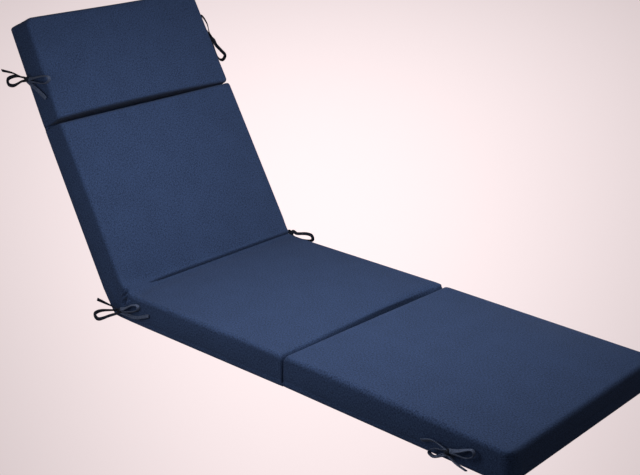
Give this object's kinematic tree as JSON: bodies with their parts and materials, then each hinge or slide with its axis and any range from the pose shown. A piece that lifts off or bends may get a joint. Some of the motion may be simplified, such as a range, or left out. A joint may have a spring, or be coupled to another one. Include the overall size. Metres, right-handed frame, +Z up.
{
  "type": "sun lounger cushion",
  "caption": "Navy padded sun lounger cushion in sewn sections, bent between back and seat, with tape bows along its sides to tie it to a lounger.",
  "frame": {"origin": "centre of the seat section's flat underside", "axes": "+Z up, +X toward the foot end, -Y the cushion's left side as one lies on it"},
  "size_m": [1.5319, 0.6665, 0.6917],
  "materials": {
    "navy_cover": "matt woven polyester",
    "navy_tape": "matt woven tape"
  },
  "bodies": {
    "root": {"cushion": "navy_cover", "bow_head_left": "navy_tape", "bow_head_right": "navy_tape", "bow_fold_left": "navy_tape", "bow_fold_right": "navy_tape", "bow_foot_left": "navy_tape", "bow_foot_right": "navy_tape"}
  },
  "joints": []
}
